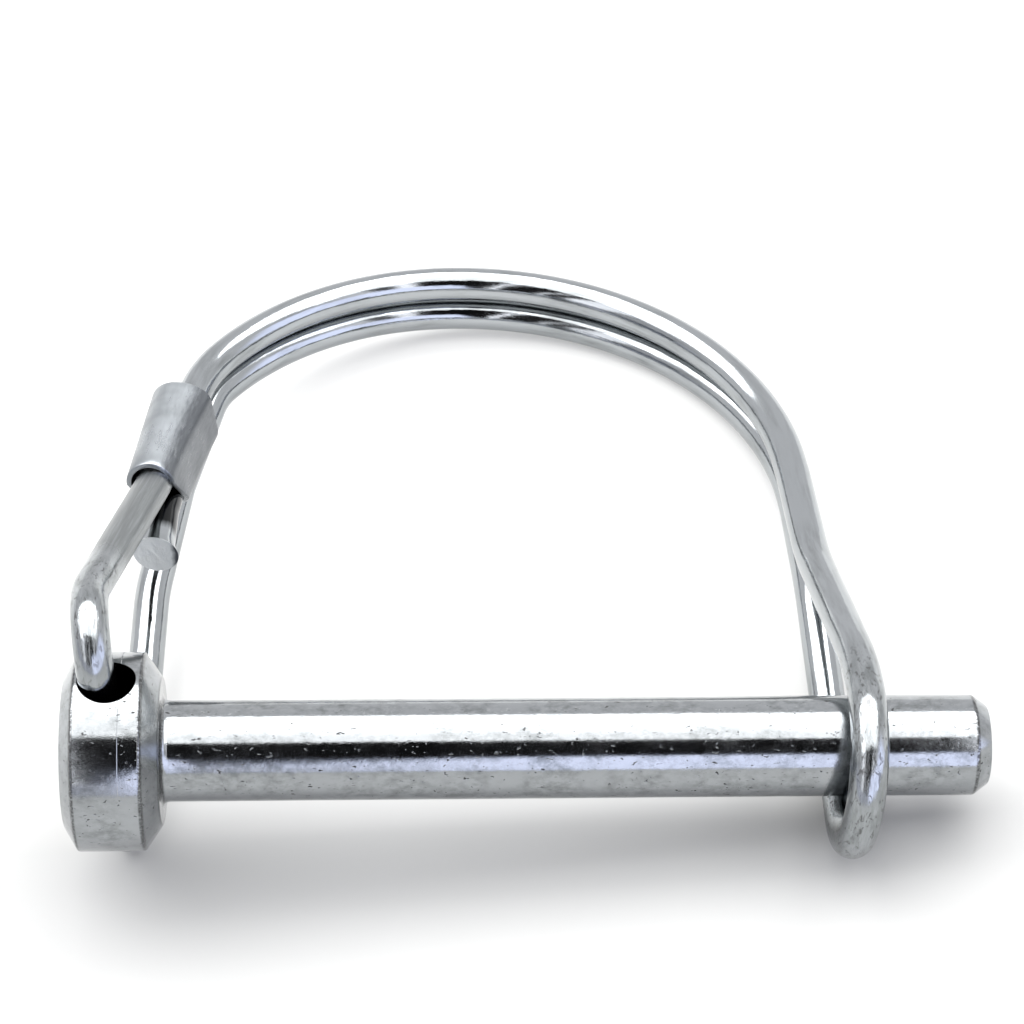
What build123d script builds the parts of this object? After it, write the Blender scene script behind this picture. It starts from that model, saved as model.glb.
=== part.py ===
# Wire lock pin: a headed pin, a spring-wire bail bent from one length, and the sleeve that joins
# the bail's two ends. Millimetres, +Z up, lying as it comes to rest on a table.
import math
import os
from build123d import *

# Pin, along its own axis: x = 0 is the shoulder under the head, +x runs to the tip
shank_d = 6.35
shank_len = 51.9
tip_chamfer_len = 0.95
tip_chamfer_depth = 0.7
shoulder_fillet = 0.5
head_d = 12.5
head_len = 6.1
back_chamfer_len = 0.84
back_chamfer_depth = 1.43
front_chamfer_len = 1.08
front_chamfer_depth = 1.63
seam_x = -2.35
seam_step = 0.05
hole_d = 3.65
hole_x = -3.2

# Bail wire
wire_d = 2.38
arch_gap = 0.3
touch_gap = 0.02
pin_gap = 0.62

# Arch, seen square to its plane: the two wires share one plan
arch_start_x = 0.3
arch_start_y = 33.0
arch_start_lean = 7.2
shoulder_r = 11.7
shoulder_turn = 28.5
crown_left_r = 20.1
crown_left_turn = 47.9
crown_right_r = 22.7
crown_right_turn = 90.8
crown_right_low_r = 23.05

# Loop round the tip of the pin
low_lead = 1.5
low_lead_r = 30.0
top_lead_out = 1.5
top_lead_out_r = 30.0
low_spread_x = 42.45
top_spread_x = 42.3
spread_y = 16.5
spread_r = 14.0
front_over_x = 43.85
front_over_r = 20.0
back_over_x = 43.1
back_over_r = 12.0
over_y = 2.0
loop_reach = 6.3
loop_front_x = 43.85
loop_back_x = 43.05
loop_straight = 0.05

# Legs at the head
front_elbow_x = -4.04
front_elbow_z = 10.15
front_elbow_r = 3.0
front_swerve_x = -4.4
front_swerve_y = 5.4
front_swerve_z = 8.7
front_swerve_r = 8.0
back_elbow_x = -2.78
back_elbow_z = -9.5
back_elbow_r = 2.4
back_swerve_x = -2.02
back_swerve_y = 20.0
back_swerve_z = -4.68
back_swerve_r = 20.0
back_turn_x = -0.6
back_turn_y = 28.9
back_turn_z = -2.8
back_turn_r = 9.0
back_lead = 1.4
back_lead_r = 6.0

# Sleeve, squeezed over the leg's end and the arch wire's end
sleeve_len = 9.4
sleeve_wall = 0.34
sleeve_play = 0.2
sleeve_round = 0.3
sleeve_mouth_x = -1.3
sleeve_mouth_y = 20.7
sleeve_mouth_z = 1.9
sleeve_side_offset = 0.35
mouth_cut_back = 1.8
mouth_cut_size = 8.0
leg_end_inset = 1.2
leg_side_shift = 0.16
leg_down_shift = 0.08
mouth_lead = 0.4
mouth_bend_r = 3.0
top_lead = 0.4
top_bend_r = 6.0
stub_len = 4.3
stub_spare = 1.2
stub_x = -1.25
stub_z = 2.0
stub_bend_r = 6.0
stub_side_shift = 0.17
stub_face_lean = 16.0
stub_face_turn = 50.0
stub_cut_spread = 0.85

# Resting on a table
path_samples = 4000
level_rounds = 12

wire_r = wire_d / 2
shank_r = shank_d / 2
head_r = head_d / 2
hole_r = hole_d / 2
layer = wire_r + arch_gap / 2
over_z = shank_r + pin_gap + wire_r
stack_len = wire_d + touch_gap


def lean_dir(degrees):
    a = math.radians(degrees)
    return Vector(math.sin(a), math.cos(a), 0)


# A bent wire's edges: straight runs joined by arcs, one (point, bend radius) per corner
def bent_run(corners):
    edges = []
    here = corners[0][0]
    for i in range(1, len(corners) - 1):
        v, r = corners[i]
        to_last = (corners[i - 1][0] - v).normalized()
        to_next = (corners[i + 1][0] - v).normalized()
        half = math.radians(to_last.get_angle(to_next)) / 2
        reach = r / math.tan(half)
        inward = (to_last + to_next).normalized()
        centre = v + inward * (r / math.sin(half))
        begin = v + to_last * reach
        end = v + to_next * reach
        edges.append(Line(here, begin))
        edges.append(ThreePointArc(begin, centre - inward * r, end))
        here = end
    edges.append(Line(here, corners[-1][0]))
    return edges


# The arch's arcs in one layer: edges, first point and heading, last point and heading. The lower
# wire takes the left shoulder in a bend of its own, so it starts at the crown.
def arch_run(z, first_bend, right_r):
    x, y, lean = arch_start_x, arch_start_y, arch_start_lean
    points = []
    leans = []
    bends = ((shoulder_r, shoulder_turn), (crown_left_r, crown_left_turn), (right_r, crown_right_turn))
    for r, turn in bends:
        for part in range(2):
            points.append(Vector(x, y, z))
            leans.append(lean)
            a0 = math.radians(lean)
            a1 = math.radians(lean + turn / 2)
            x += r * (math.cos(a0) - math.cos(a1))
            y += r * (math.sin(a1) - math.sin(a0))
            lean += turn / 2
    points.append(Vector(x, y, z))
    leans.append(lean)
    arcs = []
    for i in range(2 * first_bend, len(points) - 1, 2):
        arcs.append(ThreePointArc(points[i], points[i + 1], points[i + 2]))
    return arcs, points[2 * first_bend], lean_dir(leans[2 * first_bend]), points[-1], lean_dir(leans[-1])


# Wire, from the leg's end in the sleeve round to the stub below the sleeve's mouth
low_arcs, low_start, low_dir, low_end, low_end_dir = arch_run(-layer, 1, crown_right_low_r)
top_arcs, top_start, top_dir, top_end, top_end_dir = arch_run(layer, 0, crown_right_r)
top_bend = top_start - top_dir * top_lead
mouth = Vector(sleeve_mouth_x, sleeve_mouth_y, sleeve_mouth_z)
sleeve_dir = (top_bend - mouth).normalized()
side_dir = sleeve_dir.cross(Vector(0, 0, 1)).normalized() * -1
rise_dir = sleeve_dir.cross(side_dir).normalized()
stack_lean = math.asin(sleeve_side_offset / stack_len)
stack_dir = side_dir * math.sin(stack_lean) + rise_dir * math.cos(stack_lean)
lobe_mouth = mouth + stack_dir * stack_len
leg_corner = lobe_mouth + sleeve_dir * mouth_lead - side_dir * leg_side_shift - rise_dir * leg_down_shift
leg_end = lobe_mouth + sleeve_dir * (sleeve_len - leg_end_inset)
stub_bend = mouth - side_dir * stub_side_shift
stub_end = Vector(stub_x, sleeve_mouth_y - stub_len, stub_z)
stub_dir = (stub_bend - stub_end).normalized()

head_run = [
    (leg_end, 0),
    (leg_corner, mouth_bend_r),
    (Vector(front_swerve_x, front_swerve_y, front_swerve_z), front_swerve_r),
    (Vector(front_elbow_x, 0, front_elbow_z), front_elbow_r),
    (Vector(back_elbow_x, 0, back_elbow_z), back_elbow_r),
    (Vector(back_swerve_x, back_swerve_y, back_swerve_z), back_swerve_r),
    (Vector(back_turn_x, back_turn_y, back_turn_z), back_turn_r),
    (low_start - low_dir * back_lead, back_lead_r),
    (low_start, 0),
]
loop_r = over_z - loop_straight
loop_run = [
    (low_end, 0),
    (low_end + low_end_dir * low_lead, low_lead_r),
    (Vector(low_spread_x, spread_y, -layer), spread_r),
    (Vector(back_over_x, over_y, -over_z), back_over_r),
    (Vector(loop_back_x, -loop_reach, -over_z), loop_r),
    (Vector(loop_front_x, -loop_reach, over_z), loop_r),
    (Vector(front_over_x, over_y, over_z), front_over_r),
    (Vector(top_spread_x, spread_y, layer), spread_r),
    (top_end + top_end_dir * top_lead_out, top_lead_out_r),
    (top_end, 0),
]
tail_run = [
    (top_start, 0),
    (top_bend, top_bend_r),
    (stub_bend, stub_bend_r),
    (stub_end - stub_dir * stub_spare, 0),
]
bail_edges = bent_run(head_run) + low_arcs + bent_run(loop_run) + top_arcs[::-1] + bent_run(tail_run)
bail_path = Wire([piece.edge() for piece in bail_edges])
wire_section = Plane(origin=bail_path @ 0, z_dir=bail_path % 0) * Circle(wire_r)
bent_wire = sweep(wire_section, path=bail_path)

# The stub below the sleeve is sheared off aslant
lean = math.radians(stub_face_lean)
turn = math.radians(stub_face_turn)
across = side_dir * math.cos(turn) + rise_dir * math.sin(turn)
face_dir = across * math.sin(lean) - stub_dir * math.cos(lean)
shear = Plane(origin=stub_end, z_dir=face_dir) * Pos(0, 0, wire_r) * Cylinder(wire_d * stub_cut_spread, wire_d)
wire_bail = bent_wire - shear

# Sleeve: an oval tube with a lobe round each wire, its mouth cut back below the leg
lobe_r = wire_r + sleeve_play
oval = Plane(origin=mouth + stack_dir * (stack_len / 2), x_dir=stack_dir, z_dir=sleeve_dir)
outer_oval = SlotCenterToCenter(stack_len, 2 * (lobe_r + sleeve_wall))
inner_oval = SlotCenterToCenter(stack_len, 2 * lobe_r)
ferrule = extrude(oval * outer_oval, sleeve_len, dir=sleeve_dir)
top_edges = ferrule.faces().sort_by(lambda face: face.center().dot(sleeve_dir))[-1].edges()
ferrule = fillet(top_edges, sleeve_round)
ferrule = ferrule - extrude(oval * inner_oval, sleeve_len, dir=sleeve_dir)
cut_lean = math.atan(mouth_cut_back / stack_len)
cut_dir = sleeve_dir * -math.cos(cut_lean) - stack_dir * math.sin(cut_lean)
mouth_plane = Plane(origin=lobe_mouth, x_dir=sleeve_dir.cross(stack_dir), z_dir=cut_dir)
ferrule = ferrule - mouth_plane * Pos(0, 0, mouth_cut_size / 2) * Box(mouth_cut_size, mouth_cut_size, mouth_cut_size)

# Headed pin: one turned profile, drilled across the head for the wire
tip_r = shank_r - tip_chamfer_depth
back_r = head_r - back_chamfer_depth
ring_r = head_r - front_chamfer_depth
band_back_x = -head_len + back_chamfer_len
band_front_x = -front_chamfer_len
with BuildPart() as turned:
    with BuildSketch(Plane.XY) as profile:
        with BuildLine():
            Polyline(
                (-head_len, 0),
                (-head_len, back_r),
                (band_back_x, head_r),
                (seam_x, head_r),
                (seam_x, head_r - seam_step),
                (band_front_x, head_r - seam_step),
                (0, ring_r),
                (0, shank_r + shoulder_fillet),
            )
            RadiusArc((0, shank_r + shoulder_fillet), (shoulder_fillet, shank_r), shoulder_fillet)
            Polyline(
                (shoulder_fillet, shank_r),
                (shank_len - tip_chamfer_len, shank_r),
                (shank_len, tip_r),
                (shank_len, 0),
                (-head_len, 0),
            )
        make_face()
    revolve(axis=Axis.X)
lock_pin = turned.part
lock_pin = lock_pin - Pos(hole_x, 0, 0) * Cylinder(hole_r, head_d * 2)

# Rest: the bail's lower elbow, its loop and the far side of its arch touch the table
samples = [bail_path @ (i / path_samples) for i in range(path_samples + 1)]
elbow_points = [p for p in samples if p.X < head_len and p.Y < head_r]
loop_points = [p for p in samples if p.X > shank_len / 2 and p.Y < head_r]
arch_points = [p for p in samples if p.Y > arch_start_y]
up = Vector(0, 0, 1)
for level_round in range(level_rounds):
    touch = [min(group, key=lambda p: p.dot(up)) for group in (elbow_points, loop_points, arch_points)]
    up = (touch[1] - touch[0]).cross(touch[2] - touch[0]).normalized()
along = (Vector(1, 0, 0) - up * up.X).normalized()
table = Plane(origin=touch[0] - up * wire_r, x_dir=along, z_dir=up)
lying = [table.to_local_coords(piece) for piece in (lock_pin, wire_bail, ferrule)]
box = Compound(children=lying).bounding_box()
to_origin = Pos(-box.center().X, -box.center().Y, -box.min.Z)

os.makedirs("parts", exist_ok=True)
for name, piece in zip(("lock_pin", "wire_bail", "ferrule"), lying):
    solid = (to_origin * piece).solids()[0]
    export_step(solid, f"parts/{name}.step")
    print(name, solid.is_valid, round(solid.volume, 1), solid.bounding_box())
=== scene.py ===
import math

import bmesh
import bpy
from mathutils import Matrix, Vector


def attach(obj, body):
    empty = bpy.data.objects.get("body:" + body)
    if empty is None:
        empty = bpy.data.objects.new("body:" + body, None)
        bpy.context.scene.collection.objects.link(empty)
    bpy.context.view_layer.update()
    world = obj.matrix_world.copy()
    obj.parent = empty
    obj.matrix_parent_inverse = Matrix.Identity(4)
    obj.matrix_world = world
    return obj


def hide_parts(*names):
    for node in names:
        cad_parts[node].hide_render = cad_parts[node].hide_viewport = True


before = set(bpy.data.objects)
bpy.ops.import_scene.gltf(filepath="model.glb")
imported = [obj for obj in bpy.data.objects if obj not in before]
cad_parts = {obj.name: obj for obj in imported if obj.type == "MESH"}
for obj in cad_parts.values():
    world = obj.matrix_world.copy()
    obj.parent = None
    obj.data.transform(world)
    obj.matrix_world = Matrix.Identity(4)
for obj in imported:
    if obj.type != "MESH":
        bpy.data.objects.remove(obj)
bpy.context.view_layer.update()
print("frame loaded")

# The pin's own frame: x from the shoulder to the tip, y towards the arch, z square to the arch.
# Pieces are drawn in it in millimetres and then laid on the table in metres.
pinFrame = {
    "origin": (-22.7111472, -20.1564316, 10.0018163),
    "alongPin": (0.9962079, 0.0, -0.0870049),
    "toArch": (-0.0095799, 0.9939197, -0.10969),
    "up": (0.0864759, 0.1101075, 0.9901506),
}
axes = [Vector(pinFrame[key]) for key in ("alongPin", "toArch", "up")]
layOnTable = Matrix.Scale(0.001, 4) @ (
    Matrix.Translation(Vector(pinFrame["origin"])) @ Matrix(axes).transposed().to_4x4())


def newObject(name, data):
    made = bpy.data.objects.new(name, data)
    bpy.context.collection.objects.link(made)
    return made


def meshFromShape(name, shape):
    bmesh.ops.recalc_face_normals(shape, faces=shape.faces)
    mesh = bpy.data.meshes.new(name)
    shape.to_mesh(mesh)
    shape.free()
    return mesh


def bareCopy(thing, name):  # the evaluated result as a plain mesh, without its modifiers
    graph = bpy.context.evaluated_depsgraph_get()
    mesh = bpy.data.meshes.new_from_object(thing.evaluated_get(graph))
    mesh.name = name
    bpy.data.objects.remove(thing)
    return newObject(name, mesh)


def layDown(thing):  # from the pin's frame to the table, with the drawn place kept for the materials
    mesh = thing.data
    if "place" not in mesh.attributes:
        place = mesh.attributes.new("place", "FLOAT_VECTOR", "POINT")
        for spot, vertex in zip(place.data, mesh.vertices):
            spot.vector = vertex.co
    mesh.transform(layOnTable)
    mesh.update()


class Wiring:  # short words for the nodes used here, in the tree of a material, the world or the wire
    def __init__(self, tree):
        self.tree = tree

    def add(self, kind, options=None, **inputs):
        made = self.tree.nodes.new(kind)
        for key, value in (options or {}).items():
            setattr(made, key, value)
        for key, value in inputs.items():
            self.feed(made.inputs[key], value)
        return made

    def feed(self, socket, value):
        if isinstance(value, bpy.types.NodeSocket):
            self.tree.links.new(value, socket)
        else:
            socket.default_value = value

    def place(self, stretch=(1.0, 1.0, 1.0), shift=(0.0, 0.0, 0.0)):
        spot = self.add("ShaderNodeAttribute", {"attribute_name": "place"})
        moved = self.add("ShaderNodeMapping", Vector=spot.outputs["Vector"], Scale=stretch, Location=shift)
        return moved.outputs["Vector"]

    def split(self, vector):
        return self.add("ShaderNodeSeparateXYZ", Vector=vector).outputs

    def noise(self, scale, detail=3.0, rough=0.5, twist=0.0, **where):
        made = self.add("ShaderNodeTexNoise", Vector=self.place(**where), Scale=scale, Detail=detail,
                        Roughness=rough, Distortion=twist)
        return made.outputs["Fac"]

    def patterns(self, finish):  # a finish's noise patterns, in the order of its list
        return [self.noise(**how) for how in finish["patterns"].values()]

    def band(self, value, low, high, start=0.0, end=1.0, kind="LINEAR"):
        made = self.add("ShaderNodeMapRange", {"interpolation_type": kind}, Value=value)
        for name, number in (("From Min", low), ("From Max", high), ("To Min", start), ("To Max", end)):
            made.inputs[name].default_value = number
        return made.outputs["Result"]

    def calc(self, how, first, second=0.0):
        made = self.add("ShaderNodeMath", {"operation": how})
        self.feed(made.inputs[0], first)
        self.feed(made.inputs[1], second)
        return made.outputs[0]

    def plus(self, first, second):
        return self.calc("ADD", first, second)

    def minus(self, first, second):
        return self.calc("SUBTRACT", first, second)

    def times(self, first, second):
        return self.calc("MULTIPLY", first, second)

    def larger(self, first, second):
        return self.calc("MAXIMUM", first, second)

    def colour(self, share, first, second):  # sockets 6, 7 and 2 of a Mix node are its colours
        made = self.add("ShaderNodeMix", {"data_type": "RGBA"})
        self.feed(made.inputs[0], share)
        for socket, value in ((made.inputs[6], first), (made.inputs[7], second)):
            self.feed(socket, value if isinstance(value, bpy.types.NodeSocket) else (*value, 1.0))
        return made.outputs[2]

    def bumps(self, *layers):  # heights with their depths in metres, one over the other
        normal = None
        for height, depth in layers:
            made = self.add("ShaderNodeBump", Height=height, Distance=depth)
            if normal is not None:
                self.feed(made.inputs["Normal"], normal)
            normal = made.outputs["Normal"]
        return normal

    def metal(self, colour, roughness, normal):
        shader = self.tree.nodes["Principled BSDF"]
        shader.inputs["Metallic"].default_value = 1.0
        self.feed(shader.inputs["Base Color"], colour)
        self.feed(shader.inputs["Roughness"], roughness)
        self.feed(shader.inputs["Normal"], normal)


def newMaterial(name):
    material = bpy.data.materials.new(name)
    material.use_nodes = True
    return material, Wiring(material.node_tree)


# The headed pin: its turned outline as (x, radius, how far the corner is rounded), and its cross hole
pin = {
    "outline": [
        (-6.1, 0.0, 0.0), (-6.1, 4.82, 0.12), (-5.26, 6.25, 0.12), (-2.4, 6.25, 0.005), (-2.364, 6.23, 0.005),
        (-1.08, 6.23, 0.12), (0.0, 4.62, 0.1), (0.0, 3.175, 0.5), (50.95, 3.175, 0.12), (51.9, 2.475, 0.12),
        (51.9, 0.0, 0.0),
    ],
    "cornerSteps": 5,
    "longestRun": 2.0,
    "around": 256,
    "holeX": -3.2,
    "holeRadius": 1.825,
    "holeAround": 128,
    "drillLength": 16.0,
    "sharpFrom": 32,  # degrees between two faces
}

# In each finish, "patterns" gives the noises, "shows" from where to where in one its mark comes up, and
# how strongly, where that isn't 0 to 1, and "depth" the relief in metres.
pinFinish = {
    "brightZinc": (0.335, 0.35, 0.362),
    "dullZinc": (0.208, 0.22, 0.224),
    # the pits' grey, also the colour of the painted shade along the turned corners
    "pitGrey": (0.06, 0.06, 0.06),
    # painted shade inside the cross hole
    "holeDark": (0.03, 0.03, 0.03),
    "patterns": {
        "mottle": {"stretch": (0.7, 1.0, 1.0), "scale": 1.6, "detail": 5.0, "rough": 0.65},
        "grain": {"stretch": (0.5, 1.0, 1.0), "scale": 8.0, "detail": 4.0, "rough": 0.7},
        "cloud": {"scale": 0.35},
        "specks": {"stretch": (0.6, 1.0, 1.0), "shift": (7.0, 3.0, 0.0), "scale": 4.2, "detail": 2.0,
                   "twist": 0.6},
        "scratches": {"stretch": (0.3, 1.0, 1.0), "shift": (1.0, 0.0, 5.0), "scale": 5.5, "rough": 0.6},
    },
    "shows": {
        "mottle": (0.4, 0.65),
        "cloud": (0.3, 0.6),
        "specks": (0.68, 0.71),
        "scratches": (0.66, 0.74, 0.0, 0.6),
    },
    # painted shade: dark lines along the turned corners, broken up by the grain
    "grimyCorners": (-5.26, -1.05, 0.05, 50.95),  # along the pin
    "grimeReach": (0.17, 0.07),  # to both sides of a corner
    "grimeOnGrain": (0.38, 0.54, 0.2, 0.9),
    "holeEdge": 0.12,  # how softly the hole's dark begins, in square millimetres
    "roughness": (0.7, 1.3, 0.06, 0.17),
    "depth": {"mottle": 0.000007, "grain": 0.000003, "specks": 0.00001},
}


def zincOnPin():
    material, s = newMaterial("zincOnPin")
    mottle, grain, cloud, specks, scratches = s.patterns(pinFinish)
    shows, depth = pinFinish["shows"], pinFinish["depth"]
    deep = s.band(specks, *shows["specks"])
    pits = s.larger(deep, s.band(scratches, *shows["scratches"]))
    dull = s.times(s.band(cloud, *shows["cloud"]), s.band(mottle, *shows["mottle"]))
    colour = s.colour(dull, pinFinish["brightZinc"], pinFinish["dullZinc"])
    colour = s.colour(pits, colour, pinFinish["pitGrey"])

    alongPin = s.split(s.place())["X"]
    # painted shade along the turned corners
    cornerShade = 0.0
    for corner in pinFinish["grimyCorners"]:
        away = s.calc("ABSOLUTE", s.minus(alongPin, corner))
        cornerShade = s.larger(s.band(away, *pinFinish["grimeReach"]), cornerShade)
    cornerShade = s.times(cornerShade, s.band(grain, *pinFinish["grimeOnGrain"]))
    colour = s.colour(cornerShade, colour, pinFinish["pitGrey"])

    # painted shade: the cross hole's inside is painted near black
    spot = s.split(s.place(shift=(-pin["holeX"], 0.0, 0.0)))
    fromAxis = s.plus(s.calc("POWER", spot["X"], 2.0), s.calc("POWER", spot["Y"], 2.0))
    inHole = s.band(fromAxis, pin["holeRadius"] ** 2 + pinFinish["holeEdge"], pin["holeRadius"] ** 2)
    colour = s.colour(inHole, colour, pinFinish["holeDark"])

    roughness = s.band(s.plus(mottle, cloud), *pinFinish["roughness"])
    normal = s.bumps((mottle, depth["mottle"]), (grain, depth["grain"]),
                     (s.minus(1.0, deep), depth["specks"]))
    s.metal(colour, roughness, normal)
    return material


wireFinish = {
    "brightZinc": (0.352, 0.37, 0.382),
    "dullZinc": (0.236, 0.25, 0.255),
    "stain": (0.09, 0.09, 0.09),
    # painted shade on the stub, between the leg and the sleeve's mouth
    "grease": (0.002, 0.002, 0.002),  # on the stub, up to the sleeve's mouth
    "cutFace": (0.56, 0.58, 0.59),
    # painted shade on the cut face's right side
    "cutEdge": (0.07, 0.075, 0.085),
    "leg": (8.0, 21.0),  # along the wire, from the sleeve's mouth to the front elbow
    "bends": [(21.0, 31.0), (38.0, 50.0), (158.0, 186.0)],  # the two elbows and the loop
    "fade": 1.5,
    "patterns": {
        "lines": {"stretch": (0.05, 1.0, 1.0), "scale": 6.0, "detail": 4.0, "rough": 0.65},
        "streaks": {"stretch": (0.14, 1.0, 1.0), "scale": 1.8, "detail": 4.0, "rough": 0.6},
        "cloud": {"stretch": (0.3, 1.0, 1.0), "scale": 0.6, "detail": 2.0},
        "dents": {"stretch": (0.32, 1.0, 1.0), "shift": (3.0, 0.0, 1.0), "scale": 1.6, "detail": 5.0,
                  "rough": 0.65},
        "specks": {"stretch": (0.5, 1.0, 1.0), "shift": (0.0, 4.0, 2.0), "scale": 3.2, "rough": 0.6,
                   "twist": 0.8},
        "torn": {"stretch": (0.0, 1.0, 1.0), "scale": 2.2, "detail": 4.0, "rough": 0.6},
    },
    "shows": {
        "streaks": (0.42, 0.68),
        "cloud": (0.35, 0.65),
        "dents": (0.4, 0.6),
        "specks": (0.57, 0.64, 0.0, 0.75),
        "dullLines": (0.35, 0.6, 0.75, 1.3),
        "stainedLines": (0.4, 0.65, 0.1, 0.35),
    },
    # where the stub's painted shade fades in and out
    "greaseFrom": (6.5, 5.5),  # millimetres before the stub's end
    "greaseTo": (1.9, 2.7),
    "greaseShare": 0.95,
    "cutDepth": 0.05,
    # where the painted shade on the cut face begins, and how much the torn border moves it
    "edgeFrom": (0.78, 1.0),  # towards the cut's right side, in wire radii
    "edgeTorn": 0.25,
    "roughness": (0.7, 1.3, 0.05, 0.13),
    "legRough": 0.25,  # added where the tools held the wire
    "bendRough": 0.05,
    "cutRough": 0.3,
    "depth": {"lines": 0.000006, "streaks": 0.000012, "dents": 0.00003, "torn": 0.00005},
}


def zincOnWire():
    material, s = newMaterial("zincOnWire")
    lines, streaks, cloud, dents, specks, torn = s.patterns(wireFinish)
    shows, depth = wireFinish["shows"], wireFinish["depth"]
    along = s.split(s.place())["X"]

    def within(low, high):
        fade = wireFinish["fade"]
        return s.times(s.band(along, low - fade, low + fade), s.band(along, high + fade, high - fade))

    onLeg = within(*wireFinish["leg"])
    worked = onLeg
    for low, high in wireFinish["bends"]:
        worked = s.larger(worked, within(low, high))
    onBend = s.minus(worked, onLeg)

    dullOnLeg = s.times(onLeg, s.band(lines, *shows["dullLines"]))
    dullOnBend = s.times(onBend, s.band(dents, *shows["dents"]))
    dull = s.times(s.band(streaks, *shows["streaks"]), s.band(cloud, *shows["cloud"]))
    dull = s.calc("MINIMUM", s.larger(dull, s.larger(dullOnLeg, dullOnBend)), 1.0)
    colour = s.colour(dull, wireFinish["brightZinc"], wireFinish["dullZinc"])
    colour = s.colour(s.times(onLeg, s.band(lines, *shows["stainedLines"])), colour, wireFinish["stain"])
    colour = s.colour(s.times(s.band(specks, *shows["specks"]), onBend), colour, wireFinish["stain"])

    wireEnd = s.add("ShaderNodeValue", {"name": "wireEnd"}).outputs[0]  # both set once the wire is bent
    shadedCutSide = s.add("ShaderNodeCombineXYZ", {"name": "shadedCutSide"}).outputs["Vector"]
    # painted shade on the stub below the sleeve's mouth, where the leg and the sleeve shade it
    toEnd = s.minus(wireEnd, along)
    stubShade = s.times(s.band(toEnd, *wireFinish["greaseFrom"]),
                   s.band(s.plus(toEnd, streaks), *wireFinish["greaseTo"]))
    colour = s.colour(s.times(stubShade, wireFinish["greaseShare"]), colour, wireFinish["grease"])
    onCut = s.calc("GREATER_THAN", along, s.minus(wireEnd, wireFinish["cutDepth"]))
    # painted shade: the cut face darkens towards its right side, with a torn border
    side = s.add("ShaderNodeVectorMath", {"operation": "DOT_PRODUCT"})
    s.feed(side.inputs[0], s.place(stretch=(0.0, 1.0, 1.0)))
    s.feed(side.inputs[1], shadedCutSide)
    edge = s.plus(side.outputs["Value"], s.times(torn, wireFinish["edgeTorn"]))
    cut = s.colour(s.band(edge, *wireFinish["edgeFrom"]), wireFinish["cutFace"], wireFinish["cutEdge"])
    colour = s.colour(onCut, colour, cut)

    roughness = s.band(s.plus(streaks, cloud), *wireFinish["roughness"])
    for where, more in ((onLeg, "legRough"), (onBend, "bendRough"), (onCut, "cutRough")):
        roughness = s.plus(roughness, s.times(where, wireFinish[more]))
    normal = s.bumps((lines, depth["lines"]), (streaks, depth["streaks"]),
                     (s.times(dents, onBend), depth["dents"]), (s.times(torn, onCut), depth["torn"]))
    s.metal(colour, roughness, normal)
    return material


sleeveFinish = {
    "steel": (0.4, 0.425, 0.445),
    "darker": (0.265, 0.283, 0.295),
    # painted shade on the sleeve's left and right sides
    "sides": (0.1, 0.107, 0.118),
    "patterns": {
        "brushed": {"stretch": (1.0, 1.0, 0.2), "scale": 5.0, "detail": 4.0, "rough": 0.6},
        "cloud": {"scale": 0.45, "detail": 2.0},
        "grain": {"scale": 8.0, "rough": 0.6},
    },
    "shows": {"cloud": (0.4, 0.7)},
    "leftSide": (0.1, -1.5, 0.0, 0.5),  # across the sleeve in millimetres, and how dark it gets
    "rightSide": (1.42, 1.95, 0.0, 0.85),
    "roughness": (0.7, 1.3, 0.24, 0.42),
    "depth": {"brushed": 0.00001, "grain": 0.000006},
}


def satinSteel():
    material, s = newMaterial("satinSteel")
    brushed, cloud, grain = s.patterns(sleeveFinish)
    dark = s.band(cloud, *sleeveFinish["shows"]["cloud"])
    colour = s.colour(dark, sleeveFinish["steel"], sleeveFinish["darker"])
    # painted shade: the sleeve darkens towards its left and right sides
    across = s.split(s.place())["Y"]
    sides = s.larger(s.band(across, *sleeveFinish["leftSide"]),
                     s.band(s.plus(across, brushed), *sleeveFinish["rightSide"]))
    colour = s.colour(sides, colour, sleeveFinish["sides"])
    roughness = s.band(s.plus(brushed, cloud), *sleeveFinish["roughness"])
    normal = s.bumps((brushed, sleeveFinish["depth"]["brushed"]), (grain, sleeveFinish["depth"]["grain"]))
    s.metal(colour, roughness, normal)
    return material


pinZinc = zincOnPin()
wireZinc = zincOnWire()
sleeveSteel = satinSteel()
print("materials made")


def roundedOutline(corners, steps):
    points = [Vector(corners[0][:2])]
    for i in range(1, len(corners) - 1):
        here = Vector(corners[i][:2])
        back = (Vector(corners[i - 1][:2]) - here).normalized()
        on = (Vector(corners[i + 1][:2]) - here).normalized()
        cut = corners[i][2]
        first, last = here + back * cut, here + on * cut
        for k in range(steps + 1):
            t = k / steps
            points.append(first * (1 - t) ** 2 + here * 2 * t * (1 - t) + last * t ** 2)
    points.append(Vector(corners[-1][:2]))
    return points


def splitLongRuns(points, longest):
    split = [points[0]]
    for point in points[1:]:
        start = split[-1]
        count = max(1, math.ceil((point - start).length / longest))
        split += [start.lerp(point, k / count) for k in range(1, count + 1)]
    return split


def turned(name, outline, around):  # a closed solid turned about x
    shape = bmesh.new()
    rings = []
    for x, r in outline:
        if r < 1e-6:  # on the axis
            rings.append([shape.verts.new((x, 0, 0))])
        else:
            angles = [2 * math.pi * k / around for k in range(around)]
            rings.append([shape.verts.new((x, r * math.cos(a), r * math.sin(a))) for a in angles])
    for first, second in zip(rings, rings[1:]):
        for k in range(around):
            n = (k + 1) % around
            face = []
            for ring, place in ((first, k), (first, n), (second, n), (second, k)):
                vertex = ring[place % len(ring)]
                if vertex not in face:
                    face.append(vertex)
            shape.faces.new(face)
    return newObject(name, meshFromShape(name, shape))


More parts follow.
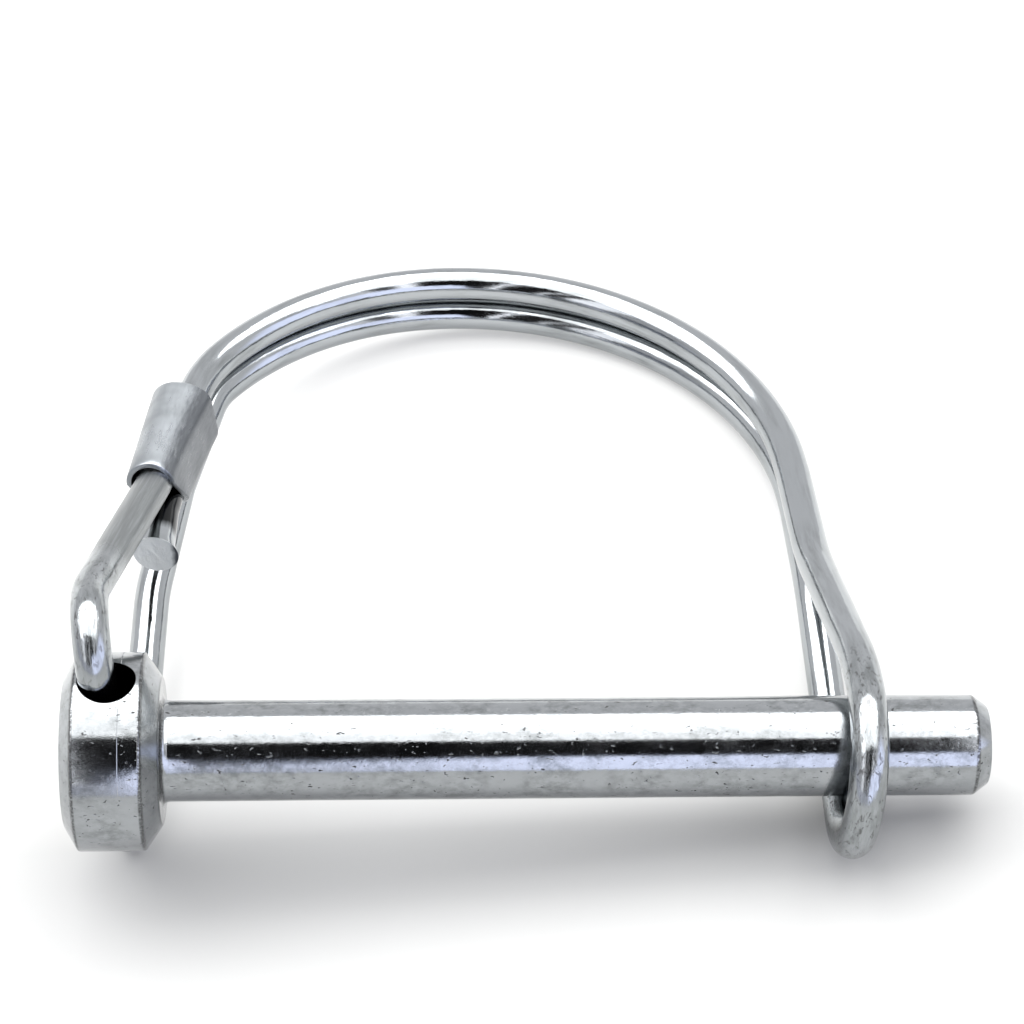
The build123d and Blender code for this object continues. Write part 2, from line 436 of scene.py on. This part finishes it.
pinOutline = splitLongRuns(roundedOutline(pin["outline"], pin["cornerSteps"]), pin["longestRun"])
blank = turned("pinBlank", pinOutline, pin["around"])
half, hole = pin["drillLength"] / 2, pin["holeRadius"]
drillOutline = [(-half, 0), (-half, hole), (half, hole), (half, 0)]
drill = turned("drill", drillOutline, pin["holeAround"])
drill.data.transform(Matrix.Translation((pin["holeX"], 0, 0)) @ Matrix.Rotation(math.radians(90), 4, "Y"))
crossHole = blank.modifiers.new("crossHole", "BOOLEAN")
crossHole.object = drill
crossHole.operation = "DIFFERENCE"
crossHole.solver = "EXACT"
headedPin = bareCopy(blank, "headedPin")
bpy.data.objects.remove(drill)
headedPin.data.shade_smooth()
headedPin.data.set_sharp_from_angle(angle=math.radians(pin["sharpFrom"]))
headedPin.data.materials.clear()
headedPin.data.materials.append(pinZinc)
layDown(headedPin)
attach(headedPin, "pin")
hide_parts("lock_pin")
print("headed pin turned and drilled")

# The bail is bent from one length of spring wire along its corners, each with its bend radius
bail = {
    "wireRadius": 1.19,
    "spacing": 0.3,
    "bendSteps": 64,
    "around": 40,
    "layer": 1.34,  # half the distance between the arch's two wires
    "archStart": (0.3, 33.0),
    "archLean": 7.2,
    "shoulder": (11.7, 28.5),  # radius and turn
    "crownLeft": (20.1, 47.9),
    "crownRight": 22.7,
    "crownRightLow": 23.05,
    "crownRightTurn": 90.8,
    "archLeads": (1.4, 1.5, 0.4),  # straight lengths before the low arch, after both, and before the top one
    "overPin": 4.985,  # wire's middle above and below the pin's axis
    "loopReach": 6.3,
    "loopSlack": 0.05,  # its bends are tighter than half its height by this
    "legLead": (0.4, 0.16, 0.08),  # from the sleeve's mouth to the leg's bend in it: on, right and down
    "legShort": 1.2,  # the wire's first end, before the sleeve's far end
    "stubRight": 0.17,
    "stubEnd": (-1.25, 16.4, 2.0),
    "sharpFrom": 40,
}

# The squeezed sleeve; the bail's two ends follow its place
sleeve = {
    "length": 9.4,
    "wall": 0.34,
    "play": 0.2,
    "mouth": (-1.3, 20.7, 1.9),
    "sideOffset": 0.35,
    "wireSpacing": 2.4,
    "mouthEdge": [(-0.06, 0.0), (-0.02, 0.03), (0.0, 0.08)],  # out from the wall's outside, up from the mouth
    "rimRound": 0.18,
    "mouthCutBack": 1.8,  # at the lower wire, from the leg's middle on
    "flare": (-0.14, 0.75),  # to the right, at the mouth and at the top end
    "flareCurve": 1.5,
    "levels": 20,
    "rimSteps": 6,
    "lobeSteps": 24,
    "sharpFrom": 40,
}


def archCorners(z, firstBend, rightRadius):  # the arch's arcs as corners with their bend radii
    x, y = bail["archStart"]
    lean = bail["archLean"]
    bends = [bail["shoulder"], bail["crownLeft"], (rightRadius, bail["crownRightTurn"])]
    corners = []
    starts = []
    for radius, turn in bends:
        a, b = math.radians(lean), math.radians(lean + turn)
        heading = Vector((math.sin(a), math.cos(a), 0))
        starts.append((Vector((x, y, z)), heading))
        corners.append((Vector((x, y, z)) + heading * radius * math.tan((b - a) / 2), radius))
        x += radius * (math.cos(a) - math.cos(b))
        y += radius * (math.sin(b) - math.sin(a))
        lean += turn
    starts.append((Vector((x, y, z)), Vector((math.sin(b), math.cos(b), 0))))
    return corners[firstBend:], starts[firstBend], starts[-1]


lowCorners, (lowStart, lowDir), (lowEnd, lowEndDir) = archCorners(-bail["layer"], 1, bail["crownRightLow"])
topCorners, (topStart, topDir), (topEnd, topEndDir) = archCorners(bail["layer"], 0, bail["crownRight"])

lowLead, endLead, topLead = bail["archLeads"]
topBend = topStart - topDir * topLead
mouth = Vector(sleeve["mouth"])
sleeveDir = (topBend - mouth).normalized()
leftDir = -sleeveDir.cross(Vector((0, 0, 1))).normalized()
riseDir = sleeveDir.cross(leftDir).normalized()
stackLean = math.asin(sleeve["sideOffset"] / sleeve["wireSpacing"])
stackDir = leftDir * math.sin(stackLean) + riseDir * math.cos(stackLean)
legMouth = mouth + stackDir * sleeve["wireSpacing"]
leadOn, leadRight, leadDown = bail["legLead"]
legCorner = legMouth + sleeveDir * leadOn - leftDir * leadRight - riseDir * leadDown
legEnd = legMouth + sleeveDir * (sleeve["length"] - bail["legShort"])
stubBend = mouth - leftDir * bail["stubRight"]
stubEnd = Vector(bail["stubEnd"])
stubDir = (stubBend - stubEnd).normalized()

layer, over, reach = bail["layer"], bail["overPin"], bail["loopReach"]
loopBend = over - bail["loopSlack"]
bailCorners = [
    (legEnd, 0.0),
    (legCorner, 3.0),
    (Vector((-4.4, 5.4, 8.7)), 8.0),
    (Vector((-4.04, 0, 10.15)), 3.0),  # front elbow, above the head
    (Vector((-2.78, 0, -9.5)), 2.4),  # back elbow, below the head
    (Vector((-2.02, 20.0, -4.68)), 20.0),
    (Vector((-0.6, 28.9, -2.8)), 9.0),
    (lowStart - lowDir * lowLead, 6.0),
    *lowCorners,
    (lowEnd + lowEndDir * endLead, 30.0),
    (Vector((42.45, 16.5, -layer)), 14.0),
    (Vector((43.1, 2.0, -over)), 12.0),
    (Vector((43.05, -reach, -over)), loopBend),  # the loop's two corners, past the pin
    (Vector((43.85, -reach, over)), loopBend),
    (Vector((43.85, 2.0, over)), 20.0),
    (Vector((42.3, 16.5, layer)), 14.0),
    (topEnd + topEndDir * endLead, 30.0),
    *topCorners[::-1],
    (topBend, 6.0),
    (stubBend, 6.0),
    (stubEnd, 0.0),
]


def wireTree():  # rounds the corners, spaces points evenly and sweeps a round wire along them
    tree = bpy.data.node_groups.new("bentWire", "GeometryNodeTree")
    face = tree.interface
    face.new_socket("Route", in_out="INPUT", socket_type="NodeSocketGeometry")
    for name, value in (("Wire Radius", bail["wireRadius"]), ("Point Spacing", bail["spacing"])):
        face.new_socket(name, in_out="INPUT", socket_type="NodeSocketFloat").default_value = value
    face.new_socket("Sides", in_out="INPUT", socket_type="NodeSocketInt").default_value = bail["around"]
    face.new_socket("Finish", in_out="INPUT", socket_type="NodeSocketMaterial")
    face.new_socket("Wire", in_out="OUTPUT", socket_type="NodeSocketGeometry")
    s = Wiring(tree)
    given = s.add("NodeGroupInput").outputs

    def named(name, kind):
        return s.add("GeometryNodeInputNamedAttribute", {"data_type": kind}, Name=name).outputs["Attribute"]

    def keep(geometry, name, kind, value):
        stored = s.add("GeometryNodeStoreNamedAttribute", {"data_type": kind}, Geometry=geometry, Name=name,
                       Value=value)
        return stored.outputs["Geometry"]

    corners = s.add("GeometryNodeMeshToCurve", Mesh=given["Route"]).outputs["Curve"]
    rounded = s.add("GeometryNodeFilletCurve", {"mode": "POLY"}, Curve=corners, Count=bail["bendSteps"],
                    Radius=named("bendRadius", "FLOAT"))
    spaced = s.add("GeometryNodeResampleCurve", {"mode": "LENGTH"}, Curve=rounded.outputs["Curve"],
                   Length=given["Point Spacing"])
    middle = keep(spaced.outputs["Curve"], "along", "FLOAT",
                  s.add("GeometryNodeSplineParameter").outputs["Length"])
    circle = s.add("GeometryNodeCurvePrimitiveCircle", Resolution=given["Sides"], Radius=given["Wire Radius"])
    section = keep(circle.outputs["Curve"], "across", "FLOAT_VECTOR",
                   s.add("GeometryNodeInputPosition").outputs["Position"])
    swept = s.add("GeometryNodeCurveToMesh", **{"Curve": middle, "Profile Curve": section, "Fill Caps": True})

    across = s.split(named("across", "FLOAT_VECTOR"))
    unbent = s.add("ShaderNodeCombineXYZ", X=named("along", "FLOAT"), Y=across["X"], Z=across["Y"])
    wire = keep(swept.outputs["Mesh"], "place", "FLOAT_VECTOR", unbent.outputs["Vector"])
    for kind in ("GeometryNodeSetShadeSmooth", "GeometryNodeRealizeInstances"):
        wire = s.add(kind, Geometry=wire).outputs["Geometry"]
    painted = s.add("GeometryNodeSetMaterial", Geometry=wire, Material=given["Finish"])
    s.add("NodeGroupOutput", Wire=painted.outputs["Geometry"])
    return tree


def setInputs(modifier, **values):
    for item in modifier.node_group.interface.items_tree:
        key = item.name.replace(" ", "")
        if item.in_out == "INPUT" and key in values:
            modifier[item.identifier] = values[key]


routeMesh = bpy.data.meshes.new("bailRoute")
runs = [(i, i + 1) for i in range(len(bailCorners) - 1)]
routeMesh.from_pydata([corner for corner, radius in bailCorners], runs, [])
radii = routeMesh.attributes.new("bendRadius", "FLOAT", "POINT")
for spot, (corner, radius) in zip(radii.data, bailCorners):
    spot.value = radius
route = newObject("bailRoute", routeMesh)
bend = route.modifiers.new("bentWire", "NODES")
bend.node_group = wireTree()
setInputs(bend, WireRadius=bail["wireRadius"], PointSpacing=bail["spacing"], Sides=bail["around"],
          Finish=wireZinc)
wireBail = bareCopy(route, "wireBail")

# Where the wire ends and which side of its cut is to the right, for the finish and the painted shade on that
# side of the cut
wirePlaces = wireBail.data.attributes["place"].data
endSpots = sorted(
    (spot.vector.x, vertex.co.x, *spot.vector[1:]) for spot, vertex in zip(wirePlaces, wireBail.data.vertices)
)[-bail["around"]:]
rightSpot = max(endSpots, key=lambda spot: spot[1])
finishNodes = wireZinc.node_tree.nodes
finishNodes["wireEnd"].outputs[0].default_value = endSpots[-1][0]
for key, value in zip("YZ", rightSpot[2:]):
    finishNodes["shadedCutSide"].inputs[key].default_value = value / bail["wireRadius"] ** 2

# The stub's end is sheared off aslant: its last rings slide on to the slanting face, and the cutter
# spread it sideways
shear = {
    "lean": 16.0,
    "turn": 50.0,
    "runIn": 2.6,
    "spread": 0.28,
    "spreadRun": 1.4,
    "slack": 0.1,  # past the end, in millimetres
    "around": 1.05,  # round the stub's middle, in wire radii
}
lean, turn = math.radians(shear["lean"]), math.radians(shear["turn"])
acrossDir = leftDir * math.cos(turn) + riseDir * math.sin(turn)
faceDir = acrossDir * math.sin(lean) - stubDir * math.cos(lean)
for vertex in wireBail.data.vertices:
    fromEnd = (vertex.co - stubEnd).dot(stubDir)
    aside = (vertex.co - stubEnd - stubDir * fromEnd).length
    if -shear["slack"] < fromEnd < shear["runIn"] and aside < bail["wireRadius"] * shear["around"]:
        flat = stubEnd + (vertex.co - stubEnd - stubDir * fromEnd)
        slide = -(flat - stubEnd).dot(faceDir) / stubDir.dot(faceDir)
        vertex.co += stubDir * slide * (1 - fromEnd / shear["runIn"])
        near = max(0.0, 1 - fromEnd / shear["spreadRun"])
        vertex.co.x += (vertex.co.x - stubEnd.x) * shear["spread"] * near ** 2
wireBail.data.set_sharp_from_angle(angle=math.radians(bail["sharpFrom"]))
layDown(wireBail)
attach(wireBail, "bail")
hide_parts("wire_bail")
print("wire bail bent")


def ovalRing(radius):  # a lobe round each wire, in the sleeve's own cross-section
    half = sleeve["wireSpacing"] / 2
    ring = []
    for side in (1, -1):
        for k in range(sleeve["lobeSteps"] + 1):
            a = math.pi * k / sleeve["lobeSteps"]
            ring.append((side * (half + radius * math.sin(a)), side * radius * math.cos(a)))
    return ring


def sleeveRuns(inner, outer):  # the wall's outline as (radius, height), up the outside and down the inside
    length, soft, levels = sleeve["length"], sleeve["rimRound"], sleeve["levels"]
    runs = [(outer + out, height) for out, height in sleeve["mouthEdge"]]
    edge = runs[-1][1]
    runs += [(outer, edge + (length - soft - edge) * k / levels) for k in range(1, levels + 1)]
    for k in range(1, sleeve["rimSteps"] + 1):
        a = math.pi / 2 * k / sleeve["rimSteps"]
        runs.append((outer - soft + soft * math.cos(a), length - soft + soft * math.sin(a)))
    runs += [(inner, length - length * k / levels) for k in range(levels + 1)]
    return runs


def sleeveMesh():  # an oval tube, cut back at its mouth and flared to the right
    inner = bail["wireRadius"] + sleeve["play"]
    outer = inner + sleeve["wall"]
    length, spacing = sleeve["length"], sleeve["wireSpacing"]
    flareLow, flareTop = sleeve["flare"]
    middle = mouth + stackDir * (spacing / 2)
    widthDir = sleeveDir.cross(stackDir).normalized()
    shape = bmesh.new()
    place = shape.verts.layers.float_vector.new("place")
    rings = []
    for radius, height in sleeveRuns(inner, outer):
        ring = []
        for u, v in ovalRing(radius):
            cutBack = max(0.0, spacing / 2 - u) * sleeve["mouthCutBack"] / spacing
            level = cutBack + height * (length - cutBack) / length
            flare = flareLow + (flareTop - flareLow) * (level / length) ** sleeve["flareCurve"]
            aside = v + flare * max(0.0, v / outer)
            vertex = shape.verts.new(middle + stackDir * u + widthDir * aside + sleeveDir * level)
            vertex[place] = Vector((u, v, level))
            ring.append(vertex)
        rings.append(ring)
    rings.append(rings[0])
    for first, second in zip(rings, rings[1:]):
        for k in range(len(first)):
            n = (k + 1) % len(first)
            shape.faces.new((first[k], first[n], second[n], second[k]))
    return meshFromShape("sleeve", shape)


squeezedSleeve = newObject("squeezedSleeve", sleeveMesh())
squeezedSleeve.data.shade_smooth()
squeezedSleeve.data.set_sharp_from_angle(angle=math.radians(sleeve["sharpFrom"]))
squeezedSleeve.data.materials.append(sleeveSteel)
layDown(squeezedSleeve)
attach(squeezedSleeve, "bail")
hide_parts("ferrule")
print("sleeve made")

floorSheet = {
    "size": 3.0,  # metres
    "paper": (0.435, 0.435, 0.425),
    # painted light: the paper glows more towards its back, paling the shadows there
    "lift": (-0.02, -0.003, 0.02, 0.36),  # the paper looks lit more towards its back: from, to, strengths
}
floorMesh = bpy.data.meshes.new("paleFloor")
half = floorSheet["size"] / 2
floorCorners = [(-half, -half, 0), (half, -half, 0), (half, half, 0), (-half, half, 0)]
floorMesh.from_pydata(floorCorners, [], [(0, 1, 2, 3)])
floor = newObject("paleFloor", floorMesh)
floorPaper, s = newMaterial("floorPaper")
s.tree.nodes.clear()
paper = s.add("ShaderNodeBsdfDiffuse", Color=(*floorSheet["paper"], 1.0))
path = s.add("ShaderNodeLightPath").outputs
seen = s.larger(s.larger(path["Is Camera Ray"], path["Is Glossy Ray"]), path["Is Transmission Ray"])
towardsBack = s.split(s.add("ShaderNodeTexCoord").outputs["Object"])["Y"]
# painted light on the floor, stronger towards its back
lift = s.add("ShaderNodeEmission", Strength=s.times(seen, s.band(towardsBack, *floorSheet["lift"])))
both = s.add("ShaderNodeAddShader")
s.feed(both.inputs[0], paper.outputs[0])
s.feed(both.inputs[1], lift.outputs[0])
s.add("ShaderNodeOutputMaterial", Surface=both.outputs[0])
floorMesh.materials.append(floorPaper)

softboxes = {  # edges in metres, and how bright each one looks
    "overhead": {"x": (-1.4, 1.0), "y": (-0.42, 0.9), "height": 1.0, "radiance": 2.8},
    "core": {"x": (-1.5, 0.9), "y": (0.2, 0.9), "height": 0.99, "radiance": 2.6},
}
for name, box in softboxes.items():
    lampData = bpy.data.lights.new(name, "AREA")
    lampData.shape = "RECTANGLE"
    lampData.size = box["x"][1] - box["x"][0]
    lampData.size_y = box["y"][1] - box["y"][0]
    lampData.energy = box["radiance"] * math.pi * lampData.size * lampData.size_y
    lamp = newObject(name, lampData)
    lamp.location = (sum(box["x"]) / 2, sum(box["y"]) / 2, box["height"])

# What stands round the table, by direction as seen from the object: brightness or colour, and from where
# to where in a direction's sideways, forward or upward part one gives way to the next
room = {
    "back": (1.1, 1.1, 1.12),
    "lowLeft": (0.85, 0.87, 0.98),
    "lowRight": (2.0, 2.1, 2.6),
    "leftToRight": (-0.07, 0.04),
    "lowToStrips": (0.2, 0.26),
    "riseSideways": (-0.08, 0.09),
    "rise": 0.29,  # how much higher the low glow reaches at the right
    "backToFront": (0.1, -0.2),
    "stripBlue": 1.04,
    "frontStops": [  # sideways part of the direction, brightness
        (-0.8, 0.8), (-0.75, 0.5), (-0.735, 2.4), (-0.545, 2.4), (-0.535, 0.05), (-0.44, 0.05), (-0.435, 2.4),
        (-0.415, 2.4), (-0.41, 0.02), (-0.19, 0.02), (-0.18, 3.2), (-0.15, 3.2), (-0.14, 0.01), (0.27, 0.01),
        (0.285, 2.6), (0.38, 2.6), (0.39, 0.12), (0.5, 0.25), (0.53, 1.6), (0.8, 0.8),
    ],
}
world = bpy.data.worlds.new("studio")
bpy.context.scene.world = world
world.use_nodes = True
s = Wiring(world.node_tree)
s.tree.nodes.clear()
direction = s.split(s.add("ShaderNodeTexCoord").outputs["Generated"])
perSideways = 0.5 / 0.8  # the colour ramp runs from 0 to 1, over -0.8 to 0.8
strips = s.add("ShaderNodeValToRGB", Fac=s.plus(s.times(direction["X"], perSideways), 0.5))
ramp = strips.color_ramp.elements
while len(ramp) < len(room["frontStops"]):
    ramp.new(0.5)
for element, (sideways, value) in zip(ramp, room["frontStops"]):
    element.position = sideways * perSideways + 0.5
for element, (sideways, value) in zip(ramp, room["frontStops"]):
    element.color = (value, value, value * room["stripBlue"], 1.0)


def softly(part, key):
    return s.band(part, *room[key], kind="SMOOTHSTEP")


lowGlow = s.colour(softly(direction["X"], "leftToRight"), room["lowLeft"], room["lowRight"])
upward = s.minus(direction["Z"], s.times(softly(direction["X"], "riseSideways"), room["rise"]))
front = s.colour(softly(upward, "lowToStrips"), lowGlow, strips.outputs["Color"])
walls = s.colour(softly(direction["Y"], "backToFront"), room["back"], front)
shown = s.colour(s.add("ShaderNodeLightPath").outputs["Is Camera Ray"], walls, (1.0, 1.0, 1.0))
sky = s.add("ShaderNodeBackground", Color=shown)
s.add("ShaderNodeOutputWorld", Surface=sky.outputs[0])

view = {
    "centre": (16.04, -152.92, 151.94),  # in the pin's frame, millimetres
    "right": (0.99959, -0.02503, 0.01342),
    "forward": (0.02771, 0.75605, -0.65392),
    "lens": 120.05,
    "sensor": 36,
    "nearest": 0.01,  # metres
}
turnToTable = layOnTable.to_3x3() * 1000  # without the change to metres
forward = (turnToTable @ Vector(view["forward"])).normalized()
right = turnToTable @ Vector(view["right"])
right = (right - forward * right.dot(forward)).normalized()
up = right.cross(forward).normalized()
cameraData = bpy.data.cameras.new("photoView")
cameraData.lens = view["lens"]
cameraData.sensor_width = view["sensor"]
cameraData.clip_start = view["nearest"]
camera = newObject("photoView", cameraData)
turnMatrix = Matrix((right, up, -forward)).transposed().to_4x4()
camera.matrix_world = Matrix.Translation(layOnTable @ Vector(view["centre"])) @ turnMatrix
bpy.context.scene.camera = camera
bpy.context.scene.view_settings.view_transform = "Standard"
print("floor, light and camera set")
